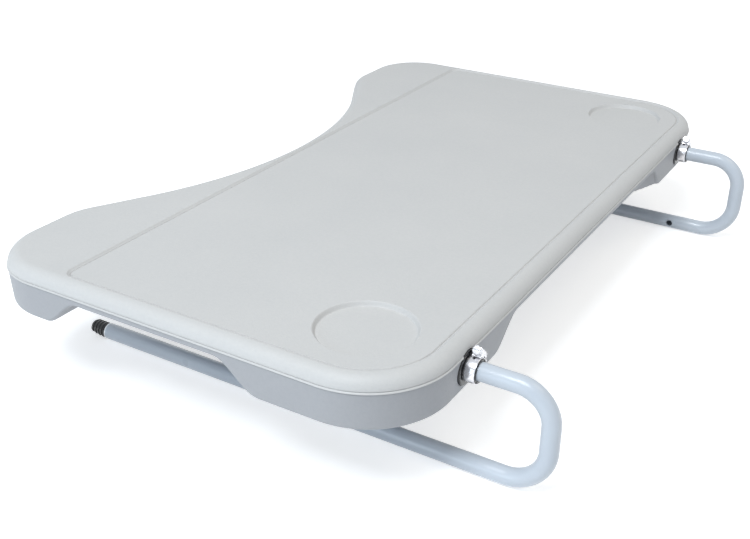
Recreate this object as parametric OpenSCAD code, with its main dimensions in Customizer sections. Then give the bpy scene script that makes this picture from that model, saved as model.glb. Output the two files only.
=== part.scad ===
// Table tray for a recliner: a hollow moulded deck carried by two bent tube rails.
// Millimetres. +X points to the rear, where the rails turn down, +Y to the sitter's left, +Z up.
// The origin is on the floor under the middle of the length, on the centreline.

/* [Tray] */
// Overall width of the deck
tray_w = 756.5; // [630:0.5:910]
// Overall depth of the deck, from the front horns to the rear edge
tray_d = 439.5; // [366:0.1:528]
// Height of the deck from the top of the rim to the soles of the feet
tray_h = 47; // [44:0.5:57]
// Height from the top of the rim to the roof of the arches between the feet
slab_h = 19.5; // [18:0.5:24]
// Height of the rolled rim above the parting line, which is also the radius of the roll
rim_h = 13.2; // [11:0.1:15]
// Wall of both moulded shells
shell_wall = 3; // [2:0.1:3.5]

/* [Deck outline] */
// Radius of the two rear corners
rear_corner_r = 76; // [60:1:92]
// Radius of the two outer front corners
front_corner_r = 65; // [50:1:80]
// Radius of the inner corner of each horn
horn_r = 62; // [40:1:75]
// Depth of the cut-out for the sitter, behind the horns
belly_d = 82.8; // [70:0.1:100]
// Radius of the hollow of the cut-out
belly_r = 413.5; // [350:0.5:450]
// Angle to which the cut-out turns before it runs straight to a horn
belly_angle = 28.3; // [26:0.1:32]

/* [Panel and cups] */
// Width of the rim round the sunk panel
panel_margin = 14; // [14:0.5:24]
// Depth of the panel below the rim
panel_sink = 1.5; // [1:0.1:3]
// Width of the strip between the panel and the deepest point of the cut-out
panel_strip = 12.3; // [6:0.1:20]
// Radius of the panel's two front corners
panel_front_r = 11; // [5:1:30]
// Diameter of a cup recess
cup_d = 82.4; // [60:0.1:99]
// Depth of a cup recess below the panel
cup_sink = 4; // [2:0.1:6]
// Distance from a cup's centre to the rear edge of the panel
cup_from_rear = 64.4; // [55:0.1:90]
// Distance from a cup's centre to the side edge of the panel
cup_from_side = 63; // [52:1:90]

/* [Feet] */
// Length of the sole of a front foot, from the horn back
front_foot_l = 79; // [60:1:110]
// Length of the slope behind a front foot
front_slope_l = 42; // [25:1:50]
// Length of the sole of a rear foot, from the rear edge forward
rear_foot_l = 131; // [128:1:160]
// Length of the slope in front of a rear foot
rear_slope_l = 30; // [20:1:45]
// Distance from a rail's axis in to the inner end of its feet's soles
foot_in = 93; // [80:1:100]
// Length of the slope on the inner side of a foot
inner_slope_l = 38; // [20:1:50]
// Depth of the slanted inner corner of a rear foot, from the rear edge forward
corner_cut_d = 20; // [12:1:28]
// Distance from a rail's axis in to the start of the slanted corner, at the rear edge
corner_cut_in = 37; // [30:1:60]
// Length of the slope along the slanted corner
corner_slope_l = 13; // [8:1:20]
// Radius of the rounded outer edge of a sole
foot_round = 4.5; // [4:0.5:12]

/* [Rails] */
// Outside diameter of the rail tube
tube_od = 15.88; // [14:0.01:17]
// Wall of the rail tube
tube_wall = 1.5; // [1:0.1:2]
// Distance between the two rails, axis to axis
rail_spacing = 555; // [500:1:585]
// Height of a rail, between the axes of its upper leg and its lower run
leg_spacing = 88.7; // [80:0.1:120]
// Distance from the deck's rear edge to the axis of a rail's upright
rail_reach = 72.5; // [66:0.1:110]
// Depth of a rail's upper leg below the top of the rim, at its axis
rail_drop = 25.3; // [25:0.1:28]
// Radius of the upper bend, at the tube's axis
upper_bend_r = 30; // [26:1:38]
// Radius of the lower bend, at the tube's axis
lower_bend_r = 36; // [26:1:40]
// Length of a lower run ahead of the deck's rear edge
run_l = 389; // [300:1:430]
// Length of a rail's upper leg inside the deck
insert_l = 105; // [90:1:106]
// Diameter of the lock hole in a lower run
lock_hole_d = 7.2; // [5:0.1:8]
// Distance of the lock hole behind the deck's rear edge
lock_hole_out = 3; // [-40:0.5:10]
// Length of the black tip ahead of a lower run
tip_l = 18; // [14:1:45]

/* [Collars] */
// Wall of the black sleeve round a rail
sleeve_wall = 2.3; // [1.8:0.1:2.5]
// Length of the sleeve inside its socket
sleeve_l = 45; // [30:1:46]
// Radius of the sleeve's flange
flange_r = 15; // [14:0.1:16]
// Thickness of the sleeve's flange
flange_t = 2.4; // [1.6:0.1:2.6]
// Width of the clamp band
band_w = 9.5; // [6:0.5:11]
// Thickness of the clamp band
band_t = 0.7; // [0.5:0.1:1]
// Turn of the clamp's screw housing from the top of the tube towards the left
clamp_turn = 40; // [0:5:60]
// Radius of the clamp's worm
worm_r = 2.6; // [2.2:0.1:3]

/* [Hidden] */
$fn = 96;

// Clearances
overrun = 1;
run_gap = 0.05;
turn_gap = 0.08;
slip_gap = 0.3;
press_gap = 0.05;
worm_gap = 0.4;

// Heights
tube_r = tube_od / 2;
bore_r = tube_r - tube_wall;
leg_z = tube_r + leg_spacing;
rim_z = leg_z + rail_drop;
parting_z = rim_z - rim_h;
panel_z = rim_z - panel_sink;
roof_z = rim_z - slab_h;
sole_z = rim_z - tray_h;

// Places along X: the whole object is centred between the horns and the uprights
rear_x = (tray_d - rail_reach - tube_r) / 2;
front_x = rear_x - tray_d;
upright_x = rear_x + rail_reach;
side_y = tray_w / 2;

// Centres of the outline's arcs, the horn's brought to a hundredth so that the swept stretches meet
outline_grid = 0.01;
rear_arc = [rear_x - rear_corner_r, side_y - rear_corner_r];
front_arc = [front_x + front_corner_r, side_y - front_corner_r];
belly_arc_x = front_x + belly_d - belly_r;
turn_r = belly_r + horn_r;
flank_l = (belly_d - turn_r * (1 - cos(belly_angle))) / sin(belly_angle);
horn_y = turn_r * sin(belly_angle) + flank_l * cos(belly_angle);
horn_arc = [front_x + horn_r, round(horn_y / outline_grid) * outline_grid];

// The rim is swept round the outline this wide, and a plate fills the middle
sweep_w = 18;
plate_lap = 2;
roll_steps = 10;
edge_steps = 6;
horn_steps = 8;
belly_steps = 24;

// Panel
panel_front_x = front_x + belly_d + panel_strip;
panel_rear_x = rear_x - panel_margin;
panel_side_y = side_y - panel_margin;
panel_rear_r = rear_corner_r - panel_margin;
cup_at = [panel_rear_x - cup_from_rear, panel_side_y - cup_from_side];
cup_round = 2.5;

// Lower shell
lip_in = 0.8;
draft_in = 1.4;
slope_steps = 14;
wall_lean = 0.5;
tack_r = 13;
tack_tip_r = 7;
tack_cols = 3;
tack_rows = 3;
tack_clear = 10;
tack_step = [105, rail_spacing / 2 - foot_in - inner_slope_l - tack_r - shell_wall - tack_clear];

// Sockets and sleeves
sleeve_r = tube_r + run_gap + sleeve_wall;
socket_r = sleeve_r + turn_gap;
socket_wall = 2.5;
seat_x = rear_x - flange_t - turn_gap;
seat_gap = 0.5;
seat_r = flange_r + seat_gap;
seat_boss_l = 14;
band_lead = 0.8;
sleeve_lip = 0.5;
collar_l = band_lead + band_w + sleeve_lip;
slit_w = 1.5;
slit_count = 4;

// Guide plug at the inner end of a rail's upper leg
leg_end_x = rear_x - insert_l;
guide_l = 6;
guide_round = 1;
spigot_l = 20;
push_l = 15;
pin_r = 1.5;
pin_in = 9;
socket_end_x = leg_end_x - guide_l - push_l - slip_gap;

// Tip at the front end of a lower run
run_end_x = rear_x - run_l;
tip_neck_in = 0.9;
tip_rib_in = 0.3;
tip_neck_r = tube_r - tip_neck_in;
tip_rib_r = tube_r - tip_rib_in;
tip_ribs = 4;
tip_rib_share = 0.45;
tip_collar_l = 2;
tip_nose_l = 1.5;
ramp_foot_l = 3;
ramp_over_axis = 0.5;

// Clamps
band_x = rear_x + band_lead;
band_in_r = sleeve_r + press_gap;
band_out_r = band_in_r + band_t;
worm_z = band_out_r + slip_gap + worm_r;
worm_l = 10;
housing_wall = 0.9;
housing_in_r = worm_r + worm_gap;
housing_r = housing_in_r + housing_wall;
housing_l = worm_l + 2 * housing_wall;
journal_r = 1.5;
neck_r = 2.1;
head_af = 7;
head_l = 4;
head_gap = 0.3;
slot_w = 1.2;
slot_l = 1.3;
tail_gap = 0.3;
tail_start = 24;
tail_bridge = 5;
tail_turn = 75;

deck_colour = [0.80, 0.81, 0.81];
tube_colour = [0.86, 0.90, 0.94];
black_colour = [0.07, 0.07, 0.08];
chrome_colour = [0.75, 0.76, 0.78];

// Outline of the deck, drawn in by u from its widest line
module deck_plan(u) {
    turn = [cos(belly_angle), sin(belly_angle)];
    horn = [horn_arc.x - (horn_r - u) * turn.x, horn_arc.y - (horn_r - u) * turn.y];
    belly = [belly_arc_x + (belly_r + u) * turn.x, (belly_r + u) * turn.y];
    half = [
        [rear_x - u, rear_arc.y],
        [rear_arc.x, side_y - u],
        [front_arc.x, side_y - u],
        [front_x + u, front_arc.y],
        [front_x + u, horn_arc.y],
        horn,
        belly,
    ];
    count = len(half);
    difference() {
        union() {
            polygon([for (i = [0 : 2 * count - 1])
                i < count ? half[i] : [half[2 * count - 1 - i].x, -half[2 * count - 1 - i].y]]);
            for (side = [-1, 1]) {
                translate([rear_arc.x, side * rear_arc.y]) circle(rear_corner_r - u);
                translate([front_arc.x, side * front_arc.y]) circle(front_corner_r - u);
                translate([horn_arc.x, side * horn_arc.y]) circle(horn_r - u);
            }
        }
        intersection() {
            translate([belly_arc_x, 0]) circle(belly_r + u);
            translate([belly_arc_x, 0]) polygon(2 * belly_r * [[0, 0], [turn.x, -turn.y], turn]);
        }
    }
}

// One straight stretch of the rim: the profile's first axis points inward, at angle inward
module straight_rim(start, inward, length, profile) {
    translate([start.x, start.y, 0]) rotate([90, 0, inward]) linear_extrude(length) polygon(profile);
}

// One rounded corner of the rim
module corner_rim(centre, radius, from, profile) {
    translate([centre.x, centre.y, 0]) rotate([0, 0, from]) rotate_extrude(angle = 90)
        polygon([for (p = profile) [radius - p.x, p.y]]);
}

// The front edge from horn to horn: points on the widest line, each with the angle that points inward
function belly_path() =
    let (turn = belly_angle)
    concat(
        [for (i = [0 : horn_steps])
            let (a = turn * i / horn_steps)
            [horn_arc.x - horn_r * cos(a), horn_arc.y - horn_r * sin(a), a]],
        [for (i = [0 : belly_steps])
            let (a = turn - 2 * turn * i / belly_steps)
            [belly_arc_x + belly_r * cos(a), belly_r * sin(a), a]],
        [for (i = [horn_steps : -1 : 0])
            let (a = -turn * i / horn_steps)
            [horn_arc.x - horn_r * cos(a), -horn_arc.y - horn_r * sin(a), a]]
    );

// Lofts a profile through the points of the front edge
module belly_rim(profile) {
    path = belly_path();
    n = len(profile);
    last = len(path) - 1;
    points = [for (s = path, p = profile) [s.x + p.x * cos(s.z), s.y + p.x * sin(s.z), p.y]];
    walls = [for (j = [0 : last - 1], i = [0 : n - 1])
        let (k = (i + 1) % n)
        [j * n + k, j * n + i, (j + 1) * n + i, (j + 1) * n + k]];
    near_end = [for (i = [0 : n - 1]) i];
    far_end = [for (i = [n - 1 : -1 : 0]) last * n + i];
    polyhedron(points, concat([near_end, far_end], walls));
}

// Carries a profile right round the outline: x is the distance in from the widest line, y is the height
module round_the_deck(profile) {
    side_l = tray_d - rear_corner_r - front_corner_r;
    front_l = front_arc.y - horn_arc.y;
    straight_rim([rear_x, -rear_arc.y], 180, 2 * rear_arc.y, profile);
    straight_rim([rear_arc.x, side_y], 270, side_l, profile);
    straight_rim([front_arc.x, -side_y], 90, side_l, profile);
    straight_rim([front_x, front_arc.y], 0, front_l, profile);
    straight_rim([front_x, -horn_arc.y], 0, front_l, profile);
    corner_rim(rear_arc, rear_corner_r, 0, profile);
    corner_rim([rear_arc.x, -rear_arc.y], rear_corner_r, 270, profile);
    corner_rim(front_arc, front_corner_r, 90, profile);
    corner_rim([front_arc.x, -front_arc.y], front_corner_r, 180, profile);
    belly_rim(profile);
}

// Section of the rolled rim, drawn in by inset, down to the parting line and then by skirt
function cap_profile(inset, skirt) =
    let (roll_r = rim_h - inset)
    concat(
        [[sweep_w, parting_z - skirt], [sweep_w, rim_z - inset]],
        [for (i = [0 : roll_steps])
            let (a = 90 + 90 * i / roll_steps)
            [rim_h + roll_r * cos(a), parting_z + roll_r * sin(a)]],
        skirt > 0 ? [[inset, parting_z - skirt]] : []
    );

module cap_form(inset, skirt) {
    round_the_deck(cap_profile(inset, skirt));
    translate([0, 0, parting_z - skirt]) linear_extrude(rim_h - inset + skirt)
        deck_plan(sweep_w - plate_lap);
}

// Outline of the sunk panel, grown by g
module panel_plan(g) {
    for (side = [-1, 1]) {
        translate([panel_rear_x - panel_rear_r, side * (panel_side_y - panel_rear_r)])
            circle(panel_rear_r + g);
        translate([panel_front_x + panel_front_r, side * (panel_side_y - panel_front_r)])
            circle(panel_front_r + g);
    }
    translate([panel_front_x - g, -panel_side_y + panel_front_r])
        square([panel_rear_x - panel_rear_r - panel_front_x + g, 2 * (panel_side_y - panel_front_r)]);
    translate([panel_front_x + panel_front_r, -panel_side_y - g])
        square([panel_rear_x - panel_rear_r - panel_front_x - panel_front_r, 2 * (panel_side_y + g)]);
    translate([panel_rear_x - panel_rear_r - overrun, -panel_side_y + panel_rear_r])
        square([panel_rear_r + g + overrun, 2 * (panel_side_y - panel_rear_r)]);
}

// A round dish of radius r, flat at z = 0, with a rounded foot, that opens upward for height h
module dish(r, h, foot) {
    rotate_extrude() {
        square([r - foot, h]);
        translate([0, foot]) square([r, h - foot]);
        translate([r - foot, foot]) circle(foot);
    }
}

module at_each_cup() {
    for (side = [-1, 1]) translate([cup_at.x, side * cup_at.y, 0]) children();
}

module at_each_socket() {
    for (side = [-1, 1]) translate([0, side * rail_spacing / 2, leg_z]) rotate([0, 90, 0]) children();
}

module flange_pockets() {
    at_each_socket() translate([0, 0, seat_x]) cylinder(r = seat_r, h = rail_reach / 2);
}

module top_shell() color(deck_colour) {
    difference() {
        cap_form(0, 0);
        difference() {
            cap_form(shell_wall, overrun);
            translate([0, 0, panel_z - shell_wall]) linear_extrude(tray_h) panel_plan(shell_wall);
            translate([0, 0, panel_z - cup_sink - shell_wall]) at_each_cup()
                cylinder(r = cup_d / 2 + shell_wall, h = tray_h);
        }
        translate([0, 0, panel_z]) linear_extrude(tray_h) panel_plan(0);
        translate([0, 0, panel_z - cup_sink]) at_each_cup() dish(cup_d / 2, tray_h, cup_round);
        flange_pockets();
    }
}

// Section of the skirt and the rounded sole edge, drawn in by inset, up past the parting line by cap
function pan_profile(inset, cap) =
    let (
        edge_r = foot_round - inset,
        top_in = lip_in + inset,
        low_in = top_in + draft_in,
        low_z = sole_z + inset
    )
    concat(
        [[sweep_w, low_z], [sweep_w, parting_z + cap]],
        cap > 0 ? [[top_in, parting_z + cap]] : [],
        [[top_in, parting_z]],
        [for (i = [0 : edge_steps])
            let (a = 180 + 90 * i / edge_steps)
            [low_in + edge_r + edge_r * cos(a), low_z + edge_r + edge_r * sin(a)]]
    );

// Half a cosine wave from the sole at low up to the roof, raised by g for the inner side of the wall
function climb(low, slope_l, g) =
    [for (i = [0 : slope_steps])
        let (t = i / slope_steps)
        [low + slope_l * t, sole_z + g + (roof_z - sole_z) * (1 - cos(180 * t)) / 2]];

// An arch between two feet, grown by g for the inner side of the wall
module arch(low_from, low_to, slope_from, slope_to, g) {
    lean = g * wall_lean;
    up = climb(low_from - lean, slope_from, g);
    down = climb(low_to + lean, -slope_to, g);
    polygon(concat(
        [[low_from - lean, sole_z - overrun]], up,
        [for (i = [slope_steps : -1 : 0]) down[i]], [[low_to + lean, sole_z - overrun]]
    ));
}

// Cuts the inner corner of the left rear foot off along a slant, with a slope of its own
module corner_cut(g) {
    inward = foot_in - corner_cut_in;
    slant = atan(corner_cut_d / inward);
    cut_l = (inward + inner_slope_l) / cos(slant) + 2 * corner_slope_l;
    lean = g * wall_lean;
    translate([rear_x, rail_spacing / 2 - corner_cut_in, 0]) rotate([90, 0, -slant])
        translate([0, 0, -corner_slope_l]) linear_extrude(cut_l)
            polygon(concat(
                [[-lean, sole_z - overrun]], climb(-lean, corner_slope_l, g),
                [[2 * corner_cut_d, roof_z + g], [2 * corner_cut_d, sole_z - overrun]]
            ));
}

module pan_form(inset, cap) {
    inner_y = rail_spacing / 2 - foot_in;
    difference() {
        union() {
            round_the_deck(pan_profile(inset, cap));
            translate([0, 0, sole_z + inset]) linear_extrude(parting_z - sole_z - inset + cap)
                deck_plan(sweep_w - plate_lap);
        }
        translate([0, side_y, 0]) rotate([90, 0, 0]) linear_extrude(tray_w)
            arch(front_x + front_foot_l, rear_x - rear_foot_l, front_slope_l, rear_slope_l, inset);
        translate([front_x, 0, 0]) rotate([90, 0, 90]) linear_extrude(tray_d)
            arch(-inner_y, inner_y, inner_slope_l, inner_slope_l, inset);
        corner_cut(inset);
        mirror([0, 1, 0]) corner_cut(inset);
    }
}

module at_each_tack() {
    mid_x = (panel_front_x + panel_rear_x) / 2;
    for (i = [0 : tack_cols - 1], j = [0 : tack_rows - 1])
        translate([mid_x + (i - (tack_cols - 1) / 2) * tack_step.x,
                   (j - (tack_rows - 1) / 2) * tack_step.y, roof_z]) children();
}

// Wells in the underside that reach up and weld to the back of the panel
module tack_wells() {
    at_each_tack()
        cylinder(r1 = tack_r + shell_wall, r2 = tack_tip_r + shell_wall, h = panel_z - shell_wall - roof_z);
}

module bottom_shell() color(deck_colour * 0.96) {
    difference() {
        union() {
            difference() {
                pan_form(0, 0);
                pan_form(shell_wall, overrun);
            }
            tack_wells();
            at_each_socket() translate([0, 0, socket_end_x - socket_wall])
                cylinder(r = socket_r + socket_wall, h = seat_x - socket_end_x + socket_wall - seat_boss_l / 2);
            at_each_socket() translate([0, 0, seat_x - seat_boss_l]) linear_extrude(seat_boss_l)
                intersection() {
                    circle(seat_r);
                    translate([leg_z - parting_z, -seat_r]) square(2 * seat_r);
                }
        }
        tack_recess();
        at_each_socket() translate([0, 0, socket_end_x]) cylinder(r = socket_r, h = tray_d);
        flange_pockets();
    }
}

// The open side of the tack wells, cut from below the roof
module tack_recess() {
    well_h = panel_z - 2 * shell_wall - roof_z;
    lean = (tack_r - tack_tip_r) / well_h;
    at_each_tack() translate([0, 0, -overrun])
        cylinder(r1 = tack_r + lean * overrun, r2 = tack_tip_r, h = well_h + overrun);
}

// Tube of one rail, r round its axis: two legs, the upright and the two bends
module rail_form(r, past) {
    upper_z = leg_z - upper_bend_r;
    lower_z = tube_r + lower_bend_r;
    translate([leg_end_x - past, 0, leg_z]) rotate([0, 90, 0])
        cylinder(r = r, h = upright_x - upper_bend_r - leg_end_x + past);
    translate([upright_x - upper_bend_r, 0, upper_z]) rotate([90, 0, 0]) rotate_extrude(angle = 90)
        translate([upper_bend_r, 0]) circle(r);
    translate([upright_x, 0, lower_z]) cylinder(r = r, h = upper_z - lower_z);
    translate([upright_x - lower_bend_r, 0, lower_z]) rotate([90, 0, 0]) rotate([0, 0, -90])
        rotate_extrude(angle = 90) translate([lower_bend_r, 0]) circle(r);
    translate([run_end_x - past, 0, tube_r]) rotate([0, 90, 0])
        cylinder(r = r, h = upright_x - lower_bend_r - run_end_x + past);
}

module pin_form(r, half_l) {
    translate([leg_end_x + pin_in, 0, leg_z - half_l]) cylinder(r = r, h = 2 * half_l);
}

// side is 1 for the left and -1 for the right
module rail(side) color(tube_colour) {
    translate([0, side * rail_spacing / 2, 0]) difference() {
        rail_form(tube_r, 0);
        rail_form(bore_r, overrun);
        pin_form(pin_r + press_gap, tube_od);
        translate([rear_x + lock_hole_out, 0, tube_r]) rotate([90 * side, 0, 0])
            cylinder(r = lock_hole_d / 2, h = tube_od);
    }
}

// The wedge cut away under a tip, so that its front end rises over the edge of a socket
module tip_ramp() {
    translate([0, tube_od, 0]) rotate([90, 0, 0]) linear_extrude(2 * tube_od)
        polygon([[ramp_foot_l, -tube_r], [tip_l + overrun, ramp_over_axis], [tip_l + overrun, -tube_od],
                 [ramp_foot_l, -tube_od]]);
}

module rail_tip(side) color(black_colour) {
    rib_step = (tip_l - tip_collar_l - tip_nose_l) / tip_ribs;
    translate([run_end_x, side * rail_spacing / 2, tube_r]) difference() {
        rotate([0, -90, 0]) {
            translate([0, 0, -spigot_l]) cylinder(r = bore_r - press_gap, h = spigot_l + overrun);
            cylinder(r = tip_rib_r, h = tip_collar_l);
            cylinder(r = tip_neck_r, h = tip_l - tip_nose_l);
            for (i = [1 : tip_ribs])
                translate([0, 0, tip_collar_l + rib_step * (i - tip_rib_share)])
                    cylinder(r1 = tip_rib_r, r2 = tip_neck_r, h = rib_step * tip_rib_share);
            translate([0, 0, tip_l - tip_nose_l])
                cylinder(r1 = tip_neck_r, r2 = tip_neck_r - tip_nose_l / 2, h = tip_nose_l);
        }
        mirror([1, 0, 0]) tip_ramp();
    }
}

module guide_plug(side) color(black_colour) {
    guide_r = socket_r - slip_gap;
    translate([0, side * rail_spacing / 2, 0]) difference() {
        translate([leg_end_x, 0, leg_z]) rotate([0, 90, 0]) {
            translate([0, 0, -overrun]) cylinder(r = bore_r - press_gap, h = spigot_l + overrun);
            translate([0, 0, -guide_l]) cylinder(r1 = guide_r - guide_round, r2 = guide_r, h = guide_round);
            translate([0, 0, guide_round - guide_l]) cylinder(r = guide_r, h = guide_l - guide_round);
        }
        pin_form(pin_r + press_gap, tube_od);
    }
}

module guide_pin(side) color(chrome_colour) {
    translate([0, side * rail_spacing / 2, 0]) pin_form(pin_r, tube_r - slip_gap);
}

module sleeve(side) color(black_colour) {
    collar_x = rear_x - seat_x;
    translate([seat_x + turn_gap, side * rail_spacing / 2, leg_z]) rotate([0, 90, 0]) difference() {
        union() {
            translate([0, 0, -sleeve_l]) cylinder(r = sleeve_r, h = sleeve_l + collar_x + collar_l);
            cylinder(r = flange_r, h = flange_t);
        }
        translate([0, 0, -sleeve_l - overrun])
            cylinder(r = tube_r + run_gap, h = sleeve_l + tray_d);
        for (i = [0 : slit_count - 1]) rotate([0, 0, 45 + i * 360 / slit_count])
            translate([0, -slit_w / 2, flange_t + overrun]) cube([sleeve_r * 2, slit_w, tray_h]);
    }
}

// Puts a clamp's own frame on a rail: X along the tube, Z out through the housing, Y along the worm
module on_clamp(side) {
    translate([band_x + band_w / 2, side * rail_spacing / 2, leg_z]) rotate([-clamp_turn, 0, 0]) children();
}

// A stretch of strip round the tube, from angle a away from the housing, towards the worm's far end
module strip(in_r, out_r, a, turn) {
    rotate([0, 90, 0]) rotate([0, 0, 180 - a - turn]) rotate_extrude(angle = turn)
        translate([in_r, -band_w / 2]) square([out_r - in_r, band_w]);
}

module clamp_band(side) color(chrome_colour) {
    tail_r = band_out_r + tail_gap;
    on_clamp(side) {
        rotate([0, 90, 0]) difference() {
            cylinder(r = band_out_r, h = band_w, center = true);
            cylinder(r = band_in_r, h = band_w + 2 * overrun, center = true);
        }
        strip(band_out_r - band_t / 2, tail_r + band_t, tail_start, tail_bridge);
        strip(tail_r, tail_r + band_t, tail_start, tail_turn);
    }
}

module clamp_housing(side) color(chrome_colour) {
    low_z = band_out_r * cos(asin(housing_l / 2 / band_out_r)) - housing_wall;
    on_clamp(side) difference() {
        union() {
            translate([0, -housing_l / 2, worm_z]) rotate([-90, 0, 0]) cylinder(r = housing_r, h = housing_l);
            translate([-housing_r, -housing_l / 2, low_z]) cube([2 * housing_r, housing_l, worm_z - low_z]);
        }
        translate([0, -worm_l / 2, worm_z]) rotate([-90, 0, 0]) cylinder(r = housing_in_r, h = worm_l);
        translate([-housing_in_r, -worm_l / 2, 0]) cube([2 * housing_in_r, worm_l, worm_z]);
        translate([0, -housing_l, worm_z]) rotate([-90, 0, 0]) cylinder(r = neck_r + turn_gap, h = housing_l);
        translate([0, 0, worm_z]) rotate([-90, 0, 0]) cylinder(r = journal_r + turn_gap, h = housing_l);
        rotate([0, 90, 0]) cylinder(r = band_out_r + press_gap, h = tray_h, center = true);
        translate([-tray_h / 2, 0, 0]) intersection() {
            rotate([0, 90, 0]) cylinder(r = band_out_r + tail_gap * 2 + band_t, h = tray_h);
            cube([tray_h, housing_l, tray_h]);
        }
    }
}

module clamp_screw(side) color(chrome_colour) {
    head_y = -housing_l / 2 - head_gap;
    on_clamp(side) translate([0, 0, worm_z]) rotate([-90, 0, 0]) difference() {
        union() {
            translate([0, 0, -worm_l / 2 + turn_gap]) cylinder(r = worm_r, h = worm_l - 2 * turn_gap);
            translate([0, 0, head_y - overrun]) cylinder(r = neck_r, h = worm_l / 2 - head_y + overrun - worm_l / 4);
            cylinder(r = journal_r, h = housing_l / 2);
            translate([0, 0, head_y - head_l]) cylinder(d = head_af / cos(30), h = head_l, $fn = 6);
        }
        translate([-head_af, -slot_w / 2, head_y - head_l - overrun]) cube([2 * head_af, slot_w, slot_l + overrun]);
    }
}

module rail_left() rail(1);
module rail_right() rail(-1);
module rail_tip_left() rail_tip(1);
module rail_tip_right() rail_tip(-1);
module guide_plug_left() guide_plug(1);
module guide_plug_right() guide_plug(-1);
module guide_pin_left() guide_pin(1);
module guide_pin_right() guide_pin(-1);
module sleeve_left() sleeve(1);
module sleeve_right() sleeve(-1);
module clamp_band_left() clamp_band(1);
module clamp_band_right() clamp_band(-1);
module clamp_housing_left() clamp_housing(1);
module clamp_housing_right() clamp_housing(-1);
module clamp_screw_left() clamp_screw(1);
module clamp_screw_right() clamp_screw(-1);

top_shell();
bottom_shell();
rail_left();
rail_right();
rail_tip_left();
rail_tip_right();
guide_plug_left();
guide_plug_right();
guide_pin_left();
guide_pin_right();
sleeve_left();
sleeve_right();
clamp_band_left();
clamp_band_right();
clamp_housing_left();
clamp_housing_right();
clamp_screw_left();
clamp_screw_right();
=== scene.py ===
import math

import bmesh
import bpy
import numpy as np
from mathutils import Matrix, Vector


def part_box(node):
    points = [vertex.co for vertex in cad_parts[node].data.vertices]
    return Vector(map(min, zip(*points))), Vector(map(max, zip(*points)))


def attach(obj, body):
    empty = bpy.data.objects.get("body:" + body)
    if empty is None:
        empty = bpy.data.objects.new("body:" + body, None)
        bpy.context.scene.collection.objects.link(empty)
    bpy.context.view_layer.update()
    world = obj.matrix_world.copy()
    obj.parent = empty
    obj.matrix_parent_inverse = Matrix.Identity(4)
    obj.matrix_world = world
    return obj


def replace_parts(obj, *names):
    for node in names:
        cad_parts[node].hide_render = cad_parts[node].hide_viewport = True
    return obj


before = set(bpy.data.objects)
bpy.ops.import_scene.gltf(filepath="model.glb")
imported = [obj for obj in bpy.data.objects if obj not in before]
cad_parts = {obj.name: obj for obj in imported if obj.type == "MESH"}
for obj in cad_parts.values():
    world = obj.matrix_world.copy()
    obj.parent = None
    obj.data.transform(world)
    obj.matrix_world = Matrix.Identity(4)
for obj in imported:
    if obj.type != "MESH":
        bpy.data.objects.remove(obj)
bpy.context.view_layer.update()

# Lengths below are millimetres in the row frame unless a comment says otherwise.
MM = 0.001
SIDES = {"left": 1, "right": -1}
clear = 20      # how far a cutter reaches past what it cuts


def side_name(side):
    """The name of a side given as 1 or -1."""
    return "left" if side > 0 else "right"


def cad_box_mm(node):
    """Lowest and highest corners of a CAD node."""
    low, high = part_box(node)
    return np.array(low) / MM, np.array(high) / MM


# Sizes taken from the frame. A leg is a rail's upper part, and a run its lower part.

top_low, top_high = cad_box_mm("top_shell")
front_x, rear_x = top_low[0], top_high[0]
side_y = top_high[1]
parting_z, rim_z = top_low[2], top_high[2]
sole_z = cad_box_mm("bottom_shell")[0][2]
rail_low, rail_high = cad_box_mm("rail_left")
tube_r = (rail_high[1] - rail_low[1]) / 2
rail_y = (rail_high[1] + rail_low[1]) / 2
leg_z = rail_high[2] - tube_r
upright_x = rail_high[0] - tube_r
run_end_x = rail_low[0]
plug_l = 20
leg_end_x = cad_box_mm("guide_plug_left")[1][0] - plug_l
band_low, band_high = cad_box_mm("clamp_band_left")
band_x = (band_low[0] + band_high[0]) / 2
band_w = band_high[0] - band_low[0]
sleeve_low, sleeve_high = cad_box_mm("sleeve_left")
tip_l = run_end_x - cad_box_mm("rail_tip_left")[0][0]


# Deck outline. The belly is the cut-out for the sitter, and a horn the rounding on each side of it.
rear_corner_r = 76
front_corner_r = 65
horn_r = 62
belly_d = 82.8
belly_r = 413.5
belly_turn = math.radians(28.3)
rear_arc = np.array([rear_x - rear_corner_r, side_y - rear_corner_r])
front_arc = np.array([front_x + front_corner_r, side_y - front_corner_r])
belly_arc = np.array([front_x + belly_d - belly_r, 0])
flank_l = (belly_d - (belly_r + horn_r) * (1 - math.cos(belly_turn))) / math.sin(belly_turn)
horn_y = (belly_r + horn_r) * math.sin(belly_turn) + flank_l * math.cos(belly_turn)
horn_arc = np.array([front_x + horn_r, horn_y])

# Panel and cups. The step down to the panel lies from step_out outside its edge to step_in inside it,
# and the groove round the panel, line_w wide and line_d deep, inside that. A flat strip flat_w wide parts
# one bend from the next, and least_rim is the least that stays flat between the roll and the step.
panel_margin = 14
panel_z = rim_z - 1.5
panel_front_r = 11
panel_front_x = front_x + belly_d + 12.3
panel_rear_x = rear_x - panel_margin
panel_side_y = side_y - panel_margin
step_out, step_in = 1.0, 1.3
line_w, line_d = 2.0, 1.3
least_rim = 0.3
flat_w = 0.5
cup_r = 41.2
cup_sink = 4
cup_edge_out, cup_edge_w = 2.0, 3.4
cup_at = np.array([panel_rear_x - 64.4, panel_side_y - 63])

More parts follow.
